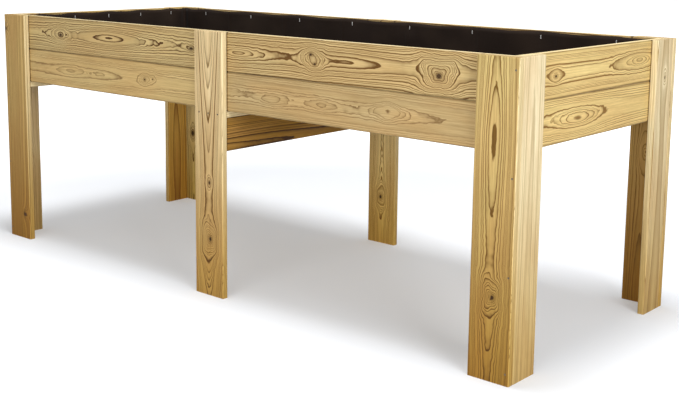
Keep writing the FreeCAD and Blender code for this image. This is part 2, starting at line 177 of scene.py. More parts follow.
def buildRingGroup():
    # growth rings of the log that the board was sawn from
    inputs = {"Board": (0, 0, 0), "Seed": 0.0, "Heart Across": 0.0, "Heart Depth": 55.0, "Ring Width": 4.5,
              "Taper": 0.01, "Drift": 5.0, "Drift Length": 480.0, "Ripple": 0.42, "Shading": 0.2, "Swell": 0.0}
    group, given, end = newGroup("growth rings", inputs, {"Late": "Float", "Ring": "Float"})
    board, seed = given["Board"], given["Seed"]
    x, y, z = addNode(group, "SeparateXYZ", {0: board})
    sideGap = addMath(group, "SUBTRACT", y, given["Heart Across"])
    deepGap = addMath(group, "SUBTRACT", z, given["Heart Depth"])
    distance = addMath(group, "SQRT", addMath(group, "ADD", addMath(group, "MULTIPLY", sideGap, sideGap),
                                              addMath(group, "MULTIPLY", deepGap, deepGap)))
    wide = ringLook["driftWidth"]
    slow = addNoise(group, stretchPoint(group, board, given["Drift Length"], wide, wide, seed), detail=1.0)
    slow = addSway(group, slow, given["Drift"])
    wide = ringLook["rippleWidth"]
    quick = addNoise(group, stretchPoint(group, board, ringLook["rippleLength"], wide, wide, seed), detail=2.0)
    quick = addSway(group, quick, given["Ripple"])
    radius = addMath(group, "MULTIPLY_ADD", x, given["Taper"], distance)
    radius = addMath(group, "ADD", addMath(group, "ADD", radius, slow), addMath(group, "ADD", quick, given["Swell"]))
    phase = addMath(group, "DIVIDE", radius, given["Ring Width"])
    place = addMath(group, "MULTIPLY_ADD", phase, ringLook["unevenScale"], seed)
    uneven = addNode(group, "TexNoise", {"W": place, "Scale": 1.0, "Detail": 0.0}, noise_dimensions="1D")[0]
    phase = addMath(group, "MULTIPLY_ADD", uneven, ringLook["uneven"], phase)
    ring = addMath(group, "FLOOR", phase)
    part = addMath(group, "FRACT", phase)
    place = addMath(group, "MULTIPLY_ADD", seed, 13.0, ring)
    chance = addNode(group, "TexWhiteNoise", {"W": place}, noise_dimensions="1D")[0]
    thin = addMath(group, "MULTIPLY", addMath(group, "POWER", part, ringLook["thinPower"]), ringLook["thinGain"])
    broad = addMath(group, "MULTIPLY", addMath(group, "POWER", part, ringLook["broadPower"]), given["Shading"])
    late = addMath(group, "ADD", thin, broad)
    late = addMath(group, "MULTIPLY", late, addRamp(group, part, ringLook["sharpEnd"], 1.0, 1.0, 0.0))
    weight = addMath(group, "MULTIPLY_ADD", chance, ringLook["spread"], ringLook["faintest"])
    late = addMath(group, "MULTIPLY", late, weight)
    feedNode(group, end, {"Late": late, "Ring": chance})
    return group


fibreLook = dict(streak=(150.0, 3.4), hair=(22.0, 0.75), tone=(260.0, 60.0))  # length and width of each


def buildFibreGroup():
    # fine lengthwise fibres, and slow changes of tone along the board
    inputs = {"Board": (0, 0, 0), "Seed": 0.0}
    group, given, end = newGroup("fibre", inputs, {"Streak": "Float", "Hair": "Float", "Tone": "Float"})
    found = {}
    for label, detail in (("Streak", 3.0), ("Hair", 2.0), ("Tone", 2.0)):
        length, width = fibreLook[label.lower()]
        point = stretchPoint(group, given["Board"], length, width, width, given["Seed"])
        found[label] = addNoise(group, point, detail=detail)
    feedNode(group, end, found)
    return group


def buildEdgeGroup():
    # distance to the nearest edge of the board, as a mask that is 1 on the edge; it carries a painted highlight along
    # the rounded edges of legs and painted shade in the seams between planks
    inputs = {"Board": (0, 0, 0), "Half Size": (500.0, 60.0, 10.0), "Width": 4.0, "Seed": 0.0}
    group, given, end = newGroup("painted edge light and shade", inputs, {"Edge": "Float", "Side": "Float", "End": "Float"})
    away = addNode(group, "VectorMath", {0: given["Board"]}, operation="ABSOLUTE")[0]
    gap = addNode(group, "VectorMath", {0: given["Half Size"], 1: away}, operation="SUBTRACT")[0]
    x, y, z = addNode(group, "SeparateXYZ", {0: gap})
    nearest = addMath(group, "MINIMUM", x, y)
    second = addMath(group, "MAXIMUM", nearest, addMath(group, "MINIMUM", addMath(group, "MAXIMUM", x, y), z))
    edgeJitter = addNoise(group, stretchPoint(group, given["Board"], 30.0, 8.0, 8.0, given["Seed"]), detail=2.0)
    reach = addMath(group, "MULTIPLY", given["Width"], addMath(group, "MULTIPLY_ADD", edgeJitter, 0.5, 0.75))
    edge = addRamp(group, addMath(group, "DIVIDE", second, reach), 0.1, 1.0, 1.0, 0.0)
    endMask = addRamp(group, x, 0.2, 1.2, 1.0, 0.0)
    sideMask = addRamp(group, y, 0.3, 2.4, 1.0, 0.0)
    feedNode(group, end, {"Edge": edge, "Side": sideMask, "End": endMask})
    return group


timberLook = dict(sideFade=0.6, warmColour=(0.55, 0.30, 0.10, 1), warmth=0.45, warmShare=0.6, sideShare=0.75,
                  haloShare=0.45, knotShare=0.92, streak=0.75, hair=0.35, ring=0.12, joint=0.6, jointWidth=6.0,
                  end=0.22, browning=(1.15, 1.45), roughness=0.68, footColour=(0.60, 0.45, 0.19, 1),
                  footTop=330.0, footBottom=-400.0, knotColour=(52, 30, 10), sideColour=(232, 214, 168))


def buildTimberGroup():
    # puts rings, fibre, knots and edges together as colour, roughness and height
    inputs = {"Pale": (0.6, 0.45, 0.22, 1), "Late Colour": (0.2, 0.1, 0.03, 1), "Knot Colour": (0.05, 0.02, 0.01, 1),
              "Side Colour": (0.8, 0.7, 0.4, 1), "Foot Colour": (0.6, 0.4, 0.2, 1), "Late": 0.0, "Ring": 0.5,
              "Streak": 0.5, "Hair": 0.5, "Tone": 0.5, "Dark": 0.0, "Halo": 0.0, "Edge": 0.0, "Side": 0.0,
              "End": 0.0, "Joint": 0.0, "Foot": 0.0, "Edge Light": 0.14, "Contrast": 1.0}
    group, given, end = newGroup("timber", inputs, {"Colour": "Color", "Roughness": "Float", "Height": "Float"})
    look = timberLook
    share = addMath(group, "MULTIPLY", given["Late"], given["Contrast"])
    share = addMath(group, "MULTIPLY", share, addMath(group, "MULTIPLY_ADD", given["Side"], -look["sideFade"], 1.0))
    share = addMath(group, "MULTIPLY", share, addMath(group, "MULTIPLY_ADD", given["Streak"], 0.9, 0.55), clamp=True)
    warm = addRamp(group, given["Tone"], 0.35, 0.65, 0.0, look["warmth"])
    warm = addMix(group, warm, given["Pale"], look["warmColour"])
    pale = addMix(group, look["warmShare"], given["Pale"], warm)
    pale = addMix(group, addMath(group, "MULTIPLY", given["Side"], look["sideShare"]), pale, given["Side Colour"])
    colour = addMix(group, share, pale, given["Late Colour"])
    halo = addMath(group, "MULTIPLY", given["Halo"], look["haloShare"])
    colour = addMix(group, halo, colour, given["Late Colour"])
    colour = addMix(group, addMath(group, "MULTIPLY", given["Dark"], look["knotShare"]), colour, given["Knot Colour"])
    shade = addMath(group, "MULTIPLY_ADD", addMath(group, "SUBTRACT", given["Streak"], 0.5), look["streak"], 1.0)
    for label in ("Hair", "Ring"):
        change = addMath(group, "MULTIPLY", addMath(group, "SUBTRACT", given[label], 0.5), look[label.lower()])
        shade = addMath(group, "ADD", shade, change)
    # painted highlight on board edges where Edge Light is positive, painted shade in plank seams where it is negative
    shade = addMath(group, "MULTIPLY_ADD", given["Edge"], given["Edge Light"], shade)
    # Joint is painted shade where a leg crosses the board; End darkens the board towards its ends
    for label in ("Joint", "End"):
        shade = addMath(group, "MULTIPLY_ADD", given[label], -look[label.lower()], shade)
    green, blue = look["browning"]  # dark parts go brown, not grey
    shaded = addNode(group, "CombineXYZ", {0: shade, 1: addMath(group, "POWER", shade, green),
                                           2: addMath(group, "POWER", shade, blue)})[0]
    colour = addMix(group, 1.0, colour, shaded, "MULTIPLY")
    colour = addMix(group, given["Foot"], colour, given["Foot Colour"], "MULTIPLY")
    rough = addMath(group, "MULTIPLY_ADD", given["Late"], -0.12, look["roughness"])
    rough = addMath(group, "MULTIPLY_ADD", given["Hair"], 0.1, rough)
    height = addMath(group, "MULTIPLY_ADD", given["Late"], 0.5, addMath(group, "MULTIPLY", given["Hair"], 0.45))
    height = addMath(group, "MULTIPLY_ADD", given["Dark"], -0.8, height)
    feedNode(group, end, {"Colour": colour, "Roughness": rough, "Height": height})
    return group


knotGroup = buildKnotGroup()
ringGroup = buildRingGroup()
fibreGroup = buildFibreGroup()
edgeGroup = buildEdgeGroup()
timberGroup = buildTimberGroup()
print("timber effects built")

# axes: along the grain, across it, through the board; heart: across and depth of the log's middle
# knots: along, across, reach, stretch, bulge of the rings, radius of the dark core, how lobed; mm from the middle

# edge: painted highlight along the rounded edges where positive, painted shade in the seams between planks where
# negative
kinds = {
    "face": dict(axes="zxy", pale=(200, 174, 112), late=(108, 76, 24), ringWidth=6.2, contrast=1.3, foot=1.0,
        edge=0.16),
    "side": dict(axes="zyx", pale=(230, 214, 174), late=(150, 118, 62), ringWidth=6.0, contrast=0.9, foot=0.85,
        edge=0.08),
    "plank": dict(axes="xzy", pale=(200, 174, 120), late=(96, 64, 22), ringWidth=5.8, contrast=1.4, foot=0.0,
        edge=-0.55, edgeWidth=5.0),
    "end": dict(axes="yzx", pale=(222, 195, 130), late=(124, 88, 34), ringWidth=5.8, contrast=1.2, foot=0.0,
        edge=-0.5, edgeWidth=5.0),
    "bearer": dict(axes="yxz", pale=(200, 170, 116), late=(118, 80, 32), ringWidth=5.8, contrast=1.2, foot=0.0,
        edge=0.08),
    "stiffener": dict(axes="yzx", pale=(150, 110, 40), late=(62, 34, 0), ringWidth=5.0, contrast=1.2, foot=0.0,
        edge=-0.1),
    "slat": dict(axes="xyz", pale=(198, 168, 114), late=(122, 84, 36), ringWidth=5.4, contrast=1.2, foot=0.0,
        edge=0.06),
}

boards = {
    "front_left_upper_plank": dict(kind="plank", seed=1.0, heart=(5, 24), ringWidth=4.6, shading=0.16,
        drift=3.5, pale=(204, 178, 122), late=(78, 48, 10), contrast=1.5, knots=[(-234, 1, 23, 1.6, -26, 5),
        (33, 8, 56, 4.2, -20, 0), (425, 0, 12, 2.4, -9, 4)]),
    "front_left_lower_plank": dict(kind="plank", seed=2.0, heart=(0, 70), contrast=0.7, pale=(198, 170, 114),
        ringWidth=3.6, shading=0.05, drift=4, ripple=1.0, knots=[(206, 3, 19, 1.2, -20, 3),
        (245, 7, 12, 1.2, -9, 2), (-181, 1, 20, 3.6, -7, 0), (-20, 2, 16, 4.0, -4, 0)]),
    "front_right_upper_plank": dict(kind="plank", seed=3.0, heart=(3, 17), drift=5, contrast=1.3,
        knots=[(-131, 16, 22, 1.3, -32, 4), (-116, -9, 22, 1.2, -30, 3.5), (297, -7, 33, 1.15, -58, 7, 0.3),
        (-10, 6, 30, 5.0, -12, 0), (-410, 0, 30, 4.0, -18, 0)]),
    "front_right_lower_plank": dict(kind="plank", seed=4.0, heart=(-2, 74), contrast=0.6, ringWidth=3.4,
        shading=0.05, pale=(182, 156, 108), drift=3.5, ripple=1.0, knots=[(139, 6, 24, 1.7, -12, 0, -0.3),
        (-277, -8, 20, 2.6, -5, 0), (-90, -4, 18, 2.6, -4, 0)]),
    "front_middle_leg": dict(kind="face", seed=5.3, heart=(0, 36), ringWidth=3.2, shading=0.1,
        pale=(224, 200, 152), contrast=1.1, drift=2.5, taper=-0.035, knots=[(-224, 6, 25, 1.3, -26, 5, 0.34),
        (-235, 0, 100, 1.3, -9, 0), (-52, 3, 11, 1.5, -11, 4)]),
    "front_right_leg_face_board": dict(kind="face", seed=6.0, heart=(-3, 30), drift=2, ringWidth=3.4,
        shading=0.12, knots=[(-186, 6, 25, 1.2, -24, 5, 0.34), (-270, 8, 60, 1.2, -5, 0),
        (215, 0, 195, 1.5, -10.2, 0)]),
    "front_right_leg_side_board": dict(kind="side", seed=7.0, heart=(0, -30), drift=2, ringWidth=7.0,
        shading=0.05, contrast=0.7, knots=[]),
    "front_left_leg_face_board": dict(kind="face", seed=8.0, heart=(75, 30), pale=(196, 164, 102),
        ringWidth=4.0, shading=0.08, contrast=1.35, drift=4, knots=[(350, -52, 18, 1.5, -20, 5),
        (-312, 29, 17, 1.5, -20, 5)]),
    "front_left_leg_side_board": dict(kind="side", seed=9.0, heart=(6, 40), contrast=0.7,
        knots=[(-120, 10, 16, 1.5, -18, 4)]),
    "rear_right_leg_face_board": dict(kind="face", seed=10.0, heart=(-5, 52), pale=(194, 160, 96),
        ringWidth=4.2, shading=0.06, contrast=1.0, knots=[(60, -8, 20, 2.0, -16, 0)]),
    "rear_right_leg_side_board": dict(kind="side", seed=11.0, heart=(3, -55),
        knots=[(291, 4, 15, 1.8, -14, 3)]),
    # the rear left leg's colours are raised to stand in for light reaching it under the box: painted light
    "rear_left_leg_face_board": dict(kind="face", seed=12.0, heart=(0, -34), ringWidth=3.8, shading=0.12,
        drift=4, pale=(255, 246, 190), knots=[(-119, -2, 25, 1.2, -26, 9), (-60, 0, 90, 1.6, -8, 0)]),
    "rear_left_leg_side_board": dict(kind="side", seed=13.0, heart=(-4, 54), pale=(240, 198, 104),
        late=(150, 104, 46), knots=[]),
    # the rear middle leg's colours are raised to stand in for light reaching it under the box: painted light
    "rear_middle_leg": dict(kind="face", seed=14.0, heart=(0, -30), ringWidth=3.6, shading=0.14,
        pale=(255, 236, 176), late=(140, 98, 36), drift=3, knots=[(-232, -4, 24, 1.3, -24, 5, 0.3),
        (-190, 0, 110, 1.2, -9, 0), (40, 0, 80, 1.6, -8, 0)]),
    "rear_left_upper_plank": dict(kind="plank", seed=15.0, heart=(-3, -45), knots=[(120, 8, 18, 1.6, -22, 4)]),
    "rear_left_lower_plank": dict(kind="plank", seed=16.0, heart=(5, -58), knots=[(-300, -6, 26, 2.6, -18, 0)]),
    "rear_right_upper_plank": dict(kind="plank", seed=17.0, heart=(0, -42),
        knots=[(-220, -10, 18, 1.5, -26, 5)]),
    "rear_right_lower_plank": dict(kind="plank", seed=18.0, heart=(-6, -60),
        knots=[(260, 12, 16, 1.6, -18, 4)]),
    "left_end_upper_plank": dict(kind="end", seed=19.0, heart=(4, 45), knots=[(90, 6, 28, 3.0, -20, 0)]),
    "left_end_lower_plank": dict(kind="end", seed=20.0, heart=(-3, 58), knots=[(-140, 4, 16, 1.6, -20, 4)]),
    "right_end_upper_plank": dict(kind="end", seed=21.0, heart=(0, -34), ringWidth=4.4, shading=0.12, drift=4,
        knots=[(-222, -3, 14, 1.4, -16, 3.5), (237, 10, 32, 3.6, -20, 0)]),
    "right_end_lower_plank": dict(kind="end", seed=22.0, heart=(2, -44), ringWidth=4.2, shading=0.12, drift=4,
        knots=[(-100, -6, 34, 3.6, -15, 0)]),
    "middle_bearer": dict(kind="bearer", seed=23.0, heart=(0, 55), knots=[(80, 10, 16, 1.6, -20, 4)]),
    "left_end_bearer": dict(kind="bearer", seed=24.0, heart=(-8, 60), knots=[]),
    "right_end_bearer": dict(kind="bearer", seed=25.0, heart=(6, 60), knots=[]),
    "bearer_stiffener": dict(kind="stiffener", seed=26.0, heart=(-40, -30), drift=8, knots=[]),
}
for number in range(1, 8):
    for side, step in (("left", 30.0), ("right", 40.0)):
        place = ((number * 137 + step * 9) % 700) - 350  # one knot for each slat, never twice in the same place
        knot = (place, number * 5 - 20, 12, 1.6, -11, 3.5)
        boards[f"{side}_floor_slat_{number}"] = dict(
            kind="slat", seed=step + number, heart=((number % 3 - 1) * 9, 56), knots=[knot])


def jointShade(tree, along, marks):  # painted shade in the corner where a leg crosses the board
    total = 0.0
    for mark in marks:
        gap = addMath(tree, "ABSOLUTE", addMath(tree, "SUBTRACT", along, mark))
        total = addMath(tree, "MAXIMUM", addRamp(tree, gap, 0.0, timberLook["jointWidth"], 1.0, 0.0), total)
    return total


def timberMaterial(name, board):
    values = {**kinds[board["kind"]], **board}
    low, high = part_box(name)
    order = ["xyz".index(letter) for letter in values["axes"]]
    centre = (low + high) / 2
    halfSize = [(high[i] - low[i]) * 500 for i in order]
    material, tree = newMaterial(name + "_wood")
    point = addNode(tree, "TexCoord")["Object"]
    point = addNode(tree, "VectorMath", {0: point, 1: centre}, operation="SUBTRACT")[0]
    point = addNode(tree, "VectorMath", {0: point, "Scale": 1000.0}, operation="SCALE")[0]
    parts = addNode(tree, "SeparateXYZ", {0: point})
    grain = addNode(tree, "CombineXYZ", {i: parts[order[i]] for i in range(3)})[0]
    bent = {"Swell": 0.0, "Dark": 0.0, "Halo": 0.0}
    for along, across, reach, stretch, bulge, core, *lobes in values["knots"]:
        knot = placeGroup(tree, knotGroup, {"Board": grain, "Along": along, "Across": across, "Reach": reach,
                                            "Stretch": stretch, "Bulge": bulge, "Core": core,
                                            "Lobes": lobes[0] if lobes else 0.0, **bent})
        bent = {label: knot[label] for label in bent}
    heartAcross, heartDepth = values["heart"]
    rings = placeGroup(tree, ringGroup, {
        "Board": grain, "Seed": values["seed"], "Heart Across": heartAcross, "Heart Depth": heartDepth,
        "Ring Width": values["ringWidth"], "Taper": values.get("taper", 0.006), "Drift": values.get("drift", 8.0),
        "Shading": values.get("shading", 0.2), "Ripple": values.get("ripple", 0.42),
        "Swell": bent["Swell"]})
    fibre = placeGroup(tree, fibreGroup, {"Board": grain, "Seed": values["seed"]})
    edges = placeGroup(tree, edgeGroup, {"Board": grain, "Half Size": halfSize, "Seed": values["seed"],
                                         "Width": values.get("edgeWidth", 4.0)})
    marks = [mark * 1000 - centre[order[0]] * 1000 for mark in values.get("joints", ())]
    joint = jointShade(tree, addNode(tree, "SeparateXYZ", {0: grain})[0], marks)
    # the legs turn darker and browner towards the foot
    footShare = addNode(tree, "SeparateXYZ", {0: point})[2]
    footShare = addRamp(tree, footShare, timberLook["footBottom"], timberLook["footTop"], 1.0, 0.0)
    footShare = addMath(tree, "MULTIPLY", footShare, values["foot"])
    timber = placeGroup(tree, timberGroup, {
        "Pale": tint(*values["pale"]), "Late Colour": tint(*values["late"]),
        "Knot Colour": tint(*timberLook["knotColour"]),
        "Late": rings["Late"], "Ring": rings["Ring"], "Streak": fibre["Streak"], "Hair": fibre["Hair"],
        "Tone": fibre["Tone"], "Dark": bent["Dark"], "Halo": bent["Halo"], "Edge": edges["Edge"],
        "Side": edges["Side"], "End": edges["End"], "Edge Light": values["edge"], "Contrast": values["contrast"],
        "Joint": joint, "Side Colour": tint(*timberLook["sideColour"]),
        "Foot": footShare, "Foot Colour": timberLook["footColour"]})
    bump = addNode(tree, "Bump", {"Height": timber["Height"], "Strength": 0.35, "Distance": 0.0006})[0]
    shader = addNode(tree, "BsdfPrincipled", {
        "Base Color": timber["Colour"], "Roughness": timber["Roughness"], "Normal": bump,
        "Specular IOR Level": 0.2})[0]
    addNode(tree, "OutputMaterial", {"Surface": shader})
    return material


def dress(name, material):
    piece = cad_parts[name]
    piece.data.materials.clear()
    piece.data.materials.append(material)


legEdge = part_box("front_left_leg_face_board")[1].x
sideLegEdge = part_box("front_left_leg_side_board")[1].y
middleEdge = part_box("front_middle_leg")[1].x
for name, board in boards.items():
    if board["kind"] == "plank":
        side = -1 if "_left_" in name else 1
        board["joints"] = (side * middleEdge, -side * legEdge)
    if board["kind"] == "end":
        board["joints"] = (sideLegEdge, -sideLegEdge)
    dress(name, timberMaterial(name, board))
print("boards finished:", len(boards))


metals = {
    "corner_leg_nails": dict(colour=(112, 104, 92), roughness=0.5, stain=0.5),
    "middle_leg_nails": dict(colour=(104, 96, 84), roughness=0.5, stain=0.5),
    "front_plank_screws": dict(colour=(150, 146, 138), roughness=0.4, stain=0.3),
    "rear_plank_screws": dict(colour=(150, 146, 138), roughness=0.4, stain=0.3),
    "end_plank_screws": dict(colour=(150, 146, 138), roughness=0.4, stain=0.3),
    "bearer_screws": dict(colour=(150, 146, 138), roughness=0.4, stain=0.3),
    "stiffener_screws": dict(colour=(150, 146, 138), roughness=0.4, stain=0.3),
    "slat_nails": dict(colour=(118, 110, 98), roughness=0.5, stain=0.5),
    "liner_staples": dict(colour=(242, 241, 238), roughness=0.42, stain=0.04),
}


def buildZincGroup():
    inputs = {"Point": (0, 0, 0), "Colour": (0.5, 0.5, 0.5, 1), "Stain": 0.3, "Roughness": 0.4}
    group, given, end = newGroup("zinc", inputs, {"Colour": "Color", "Roughness": "Float", "Height": "Float"})
    blotch = addNoise(group, given["Point"], scale=420.0, detail=3.0)
    scratch = addNoise(group, given["Point"], scale=2400.0, detail=2.0)
    rusty = addMath(group, "MULTIPLY", addRamp(group, blotch, 0.45, 0.7), given["Stain"])
    colour = addMix(group, rusty, given["Colour"], tint(96, 62, 34))
    rough = addMath(group, "MULTIPLY_ADD", rusty, 0.3, given["Roughness"])
    rough = addMath(group, "MULTIPLY_ADD", scratch, 0.25, rough)
    feedNode(group, end, {"Colour": colour, "Roughness": rough, "Height": addMath(group, "ADD", scratch, rusty)})
    return group


zincGroup = buildZincGroup()


def metalMaterial(name, values):
    material, tree = newMaterial(name + "_zinc")
    point = addNode(tree, "TexCoord")["Object"]
    zinc = placeGroup(tree, zincGroup, {"Point": point, "Colour": tint(*values["colour"]), "Stain": values["stain"],
                                        "Roughness": values["roughness"]})
    bump = addNode(tree, "Bump", {"Height": zinc["Height"], "Strength": 0.25, "Distance": 0.0002})[0]
    shader = addNode(tree, "BsdfPrincipled", {"Base Color": zinc["Colour"], "Metallic": 0.85,
                                              "Roughness": zinc["Roughness"], "Normal": bump})[0]
    addNode(tree, "OutputMaterial", {"Surface": shader})
    return material


for name, values in metals.items():
    dress(name, metalMaterial(name, values))
print("fasteners finished:", len(metals))


liner = dict(bend=0.016, step=0.014, rows=15, thickness=0.0012, slack=0.0055, belly=0.004, droop=0.003,
             flap=0.078, foldPitch=0.29, foldStart=0.117, foldRise=0.0016, wrinkle=0.0030, flat=(2.46, 1.19),
             longStaples=(0.1275, 0.3825, 0.6375, 0.8925), endStaples=(0.0, 0.154, 0.308), stapleHeight=0.780)


def smoothStep(value):
    value = min(max(value, 0.0), 1.0)
    return value * value * (3 - 2 * value)


def foldPlaces(half):  # where the cloth was creased in its packet
    first = liner["foldStart"] - liner["foldPitch"] * 10
    places = [first + liner["foldPitch"] * i for i in range(21)]
    return [place for place in places if abs(place) < half - 0.05]


def gridLines(half, folds):
    bend, step = liner["bend"], liner["step"]
    edge = [half - gap for gap in (0.0, 0.0015, 0.004, 0.008, 0.012, bend)]
    inner = half - bend
    count = max(2, round(2 * inner / step))
    lines = [-inner + 2 * inner * i / count for i in range(1, count)]
    lines = [line for line in lines if all(abs(line - fold) > 0.009 for fold in folds)]
    for fold in folds:
        lines += [fold + gap for gap in (-0.007, -0.0025, 0.0, 0.0025, 0.007)]
    return sorted(lines + edge + [-line for line in edge])


def foldHeight(place, folds):
    return sum(math.exp(-((place - fold) / 0.0032) ** 2) for fold in folds)


def betweenStaples(place, staples, half):  # 0 at a staple or corner, 1 halfway to the next
    marks = sorted([-half, half] + [sign * mark for mark in staples for sign in (-1, 1)])
    for low, high in zip(marks, marks[1:]):
        if low <= place <= high and high - low > 0.001:
            return math.sin(math.pi * (place - low) / (high - low)) ** 2
    return 0.0


def buildLiner():
    low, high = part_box("liner")
    halfLength, halfWidth = high.x - 0.0007, high.y - 0.0007
    floorHeight, hem = low.z + 0.0007, high.z - 0.0004
    bend, rows = liner["bend"], liner["rows"]
    wallFoot = floorHeight + bend
    innerLength, innerWidth = halfLength - bend, halfWidth - bend
    lengthFolds, widthFolds = foldPlaces(halfLength), [0.0]
    xLines, yLines = gridLines(halfLength, lengthFolds), gridLines(halfWidth, widthFolds)
    shape = bmesh.new()

    def planPoint(x, y):  # rounds the corners of the plan; gives the place and how far the wall is
        overX, overY = (abs(x) - innerLength) / bend, (abs(y) - innerWidth) / bend
        if overX > 0 and overY > 0:
            roundX = overX * math.sqrt(1 - overY * overY / 2)
            roundY = overY * math.sqrt(1 - overX * overX / 2)
            gap = bend * (1 - min(1.0, math.hypot(roundX, roundY)))
            return math.copysign(innerLength + bend * roundX, x), math.copysign(innerWidth + bend * roundY, y), gap
        return x, y, min(halfLength - abs(x), halfWidth - abs(y))

    def floorLevel(x, y, gap):
        level = floorHeight
        if gap < bend:
            level += bend * (1 - math.sqrt(max(0.0, 1 - (1 - gap / bend) ** 2)))
        calm = smoothStep((gap - bend) / 0.05)
        ripple = noise.noise(Vector((x * 3.1, y * 6.3, 4.0)))
        ripple += 0.5 * noise.noise(Vector((x * 9.0, y * 15.0, 9.0)))
        level += calm * liner["wrinkle"] * max(0.0, ripple) * 1.6
        level += calm * liner["foldRise"] * (foldHeight(x, lengthFolds) + foldHeight(y, widthFolds))
        return level

    def pushIn(along, height, staples, half, folds, seed):  # how far a wall of cloth stands off its plank
        drop = hem - height
        share = betweenStaples(along, staples, half)
        rise = smoothStep((height - wallFoot) / 0.04)
        gap = liner["slack"] * share * math.exp(-drop / 0.05)
        gap += liner["belly"] * max(0.0, noise.noise(Vector((along * 4.2, height * 9.0, seed))) + 0.25)
        gap += 0.0016 * max(0.0, noise.noise(Vector((along * 21.0, height * 6.0, seed + 5))))
        gap += liner["foldRise"] * foldHeight(along, folds)
        gap *= rise
        for mark in staples:
            for sign in (-1, 1):
                near = math.hypot(along - sign * mark, (height - liner["stapleHeight"]) * 0.8)
                gap *= 1 - math.exp(-(near / 0.016) ** 2)
        return gap

    def flapWidth(height):
        return liner["flap"] * max(0.0, (height - wallFoot) / (hem - wallFoot)) ** 0.9

    def wallPoint(x, y, height, layer, share):
        # layer 0 lies on the plank, 1 and 2 on top of it in the corner flap; share is how far out in the flap
        width = flapWidth(height)
        lift = 0.0017 * min(1.0, width / 0.02)
        overX, overY = (abs(x) - innerLength) / bend, (abs(y) - innerWidth) / bend
        if layer is not None:
            x = math.copysign(innerLength - share * width, x)
            overX = 0.0
        if overX > 1e-6 and overY > 1e-6:
            length = math.hypot(overX, overY)
            inward = Vector((-math.copysign(overX, x), -math.copysign(overY, y), 0)) / length
            gap = droop = 0.0
        elif overY > 0.5:  # long walls
            inward = Vector((0, -math.copysign(1, y), 0))
            gap = pushIn(x, height, liner["longStaples"], halfLength, lengthFolds, 1.0 if y > 0 else 2.0)
            past = innerLength - abs(x)
            if layer is None:
                gap += 2 * lift * (1 - smoothStep((past - width - 0.003) / 0.016))
            else:
                gap += layer * lift
            droop = betweenStaples(x, liner["longStaples"], halfLength)
        else:
            inward = Vector((-math.copysign(1, x), 0, 0))
            gap = pushIn(y, height, liner["endStaples"], halfWidth, widthFolds, 3.0 if x > 0 else 4.0)
            droop = betweenStaples(y, liner["endStaples"], halfWidth)
        level = height - liner["droop"] * droop * math.exp(-(hem - height) / 0.03)
        return Vector((x, y, level)) + inward * gap

    floorPoints = []
    for x in xLines:
        column = []
        for y in yLines:
            placeX, placeY, gap = planPoint(x, y)
            column.append(shape.verts.new((placeX, placeY, floorLevel(placeX, placeY, gap))))
        floorPoints.append(column)
    lastX, lastY = len(xLines) - 1, len(yLines) - 1
    for i in range(lastX):
        for j in range(lastY):
            near, far = floorPoints[i], floorPoints[i + 1]
            shape.faces.new((near[j], far[j], far[j + 1], near[j + 1]))

    loop = [(i, 0) for i in range(lastX)] + [(lastX, j) for j in range(lastY)]
    loop += [(i, lastY) for i in range(lastX, 0, -1)] + [(0, j) for j in range(lastY, 0, -1)]
    columns = []  # (foot vertex, x, y, layer, share)
    shares = [i / 5 for i in range(6)]
    for i, j in loop:
        foot = floorPoints[i][j]
        x, y = foot.co.x, foot.co.y
        plain = (foot, x, y, None, 0.0)
        atCorner = j in (0, lastY) and abs(abs(xLines[i]) - innerLength) < 1e-6
        if not atCorner:
            columns.append(plain)
            continue
        outward = [(foot, x, y, 0, share) for share in shares]
        back = [(foot, x, y, 1, share) for share in reversed(shares)]
        leaving = (x < 0) == (y < 0)  # the loop comes out of the corner here, else it runs into it
        columns += outward + back + [plain] if leaving else [plain] + back[::-1] + outward[::-1]
    levels = [wallFoot + (hem - wallFoot) * (i / rows) for i in range(1, rows + 1)]
    walls = [[foot for foot, *_ in columns]]
    for height in levels:
        walls.append([shape.verts.new(wallPoint(x, y, height, layer, share))
                      for foot, x, y, layer, share in columns])
    count = len(columns)
    for lower, upper in zip(walls, walls[1:]):
        for i in range(count):
            k = (i + 1) % count
            corners = []
            for point in (lower[i], lower[k], upper[k], upper[i]):
                if point not in corners:
                    corners.append(point)
            if len(corners) > 2:
                shape.faces.new(corners)
    bmesh.ops.remove_doubles(shape, verts=shape.verts, dist=0.00015)
    bmesh.ops.recalc_face_normals(shape, faces=shape.faces)
    mesh = bpy.data.meshes.new("cloth_liner")
    shape.to_mesh(mesh)
    shape.free()
    for face in mesh.polygons:
        face.use_smooth = True
    cloth = bpy.data.objects.new("cloth_liner", mesh)
    bpy.context.scene.collection.objects.link(cloth)
    shell = cloth.modifiers.new("cloth thickness", "SOLIDIFY")
    shell.thickness = liner["thickness"]
    shell.offset = 0.0
    return cloth


felt = dict(dark=(23, 12, 6), light=(54, 41, 30), fluff=900.0, roughness=0.82)


